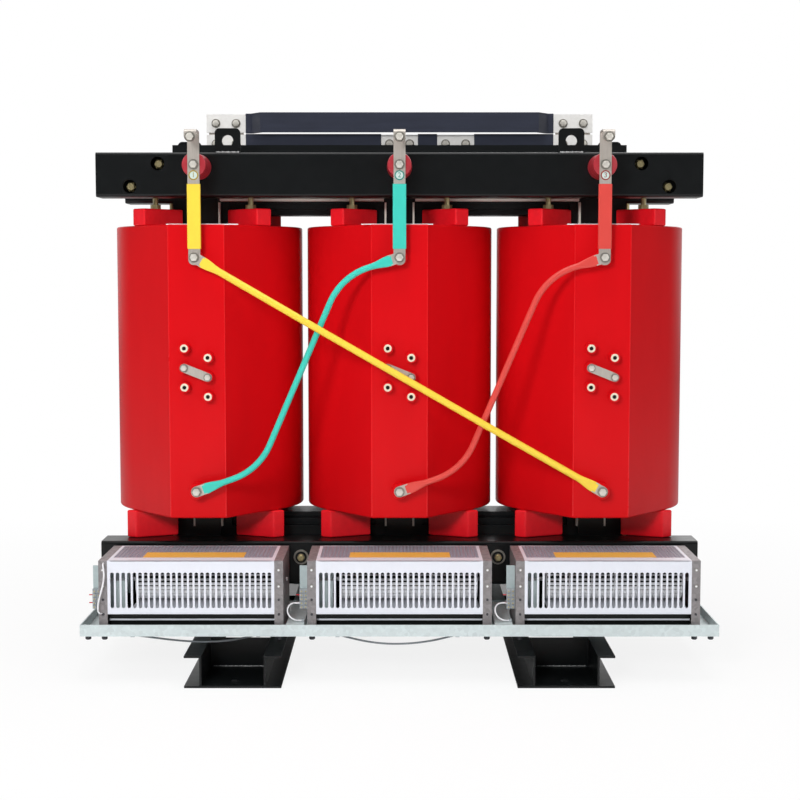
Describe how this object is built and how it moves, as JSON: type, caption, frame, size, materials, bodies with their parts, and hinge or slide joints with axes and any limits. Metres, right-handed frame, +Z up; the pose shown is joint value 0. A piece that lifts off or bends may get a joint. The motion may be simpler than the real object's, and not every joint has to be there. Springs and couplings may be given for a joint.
{
  "type": "dry type transformer",
  "caption": "Open dry-type power transformer with cast-resin coils on a clamped core, delta links, busbars, steel feet and cooling fans on rails.",
  "frame": {"origin": "on the floor, under the middle of the whole unit", "axes": "+X along the row of limbs, from phase A to phase C; +Y from the high-voltage side to the low-voltage side; +Z up"},
  "size_m": [1.59, 1.09, 1.475],
  "materials": {
    "black_paint": "satin black paint",
    "insulation_board": "pale laminated board",
    "zinc_steel": "yellow-zinc plated",
    "block_red": "cast red resin",
    "coil_red": "semi-gloss red cast resin",
    "lv_resin": "resin-sealed foil winding",
    "brass": "machined",
    "tinned_copper": "tinned flat bar",
    "insulator_red": "cast resin",
    "yellow_sleeve": "heat-shrink sleeve",
    "green_sleeve": "heat-shrink sleeve",
    "red_sleeve": "heat-shrink sleeve",
    "dark_sleeve": "heat-shrink sleeve",
    "galvanised": "galvanised",
    "fan_plate": "galvanised sheet",
    "fan_white": "white powder coat",
    "motor_grey": "grey-green paint",
    "impeller_black": "dark anodised",
    "grey_cable": "grey cable jacket",
    "white_lead": "white insulation"
  },
  "bodies": {
    "frame": {"cable_clips": "grey_cable", "clamp_posts": "black_paint", "core_limbs": "black_paint", "core_yokes": "black_paint", "delta_link_a": "yellow_sleeve", "delta_link_b": "green_sleeve", "delta_link_c": "red_sleeve", "fan_backs": "fan_plate", "fan_cable_left": "grey_cable", "fan_cable_middle": "grey_cable", "fan_cover_a": "fan_white", "fan_cover_b": "fan_white", "fan_cover_c": "fan_white", "fan_end_plates": "fan_plate", "fan_lead_a": "white_lead", "fan_lead_b": "white_lead", "fan_lead_c": "white_lead", "fan_motor_brackets": "motor_grey", "fan_motors": "motor_grey", "fan_rail_arms": "galvanised", "fan_rail_front": "galvanised", "fan_rail_inner": "galvanised", "fan_terminal_blocks": "motor_grey", "foot_left": "black_paint", "foot_right": "black_paint", "hv_coil_a": "coil_red", "hv_coil_b": "coil_red", "hv_coil_c": "coil_red", "hv_fasteners": "zinc_steel", "hv_insulators": "insulator_red", "hv_sleeve_a": "yellow_sleeve", "hv_sleeve_b": "green_sleeve", "hv_sleeve_c": "red_sleeve", "hv_terminal_bars": "tinned_copper", "jack_bolts": "zinc_steel", "lifting_lugs": "black_paint", "limb_strips": "insulation_board", "lower_clamp_front": "black_paint", "lower_clamp_rear": "black_paint", "lower_support_blocks": "block_red", "lv_coils": "lv_resin", "neutral_bars": "tinned_copper", "neutral_bolts": "zinc_steel", "neutral_leads": "tinned_copper", "neutral_sleeves": "dark_sleeve", "phase_leads": "tinned_copper", "pull_plates": "black_paint", "rail_bolts": "zinc_steel", "rail_hangers": "galvanised", "tap_inserts": "brass", "tap_links": "tinned_copper", "tie_rods": "zinc_steel", "upper_clamp_front": "black_paint", "upper_clamp_rear": "black_paint", "upper_support_blocks": "block_red", "yoke_bolts": "zinc_steel", "yoke_pads": "insulation_board"},
    "impeller_a": {"fan_impeller_a": "impeller_black"},
    "impeller_b": {"fan_impeller_b": "impeller_black"},
    "impeller_c": {"fan_impeller_c": "impeller_black"}
  },
  "joints": [
    {"name": "fan_spin_a", "type": "hinge", "parent": "frame", "child": "impeller_a", "pos_m": [-0.52, -0.362, 0.236], "axis": [1, 0, 0], "continuous": true},
    {"name": "fan_spin_b", "type": "hinge", "parent": "frame", "child": "impeller_b", "pos_m": [0, -0.362, 0.236], "axis": [1, 0, 0], "continuous": true},
    {"name": "fan_spin_c", "type": "hinge", "parent": "frame", "child": "impeller_c", "pos_m": [0.52, -0.362, 0.236], "axis": [1, 0, 0], "continuous": true}
  ]
}
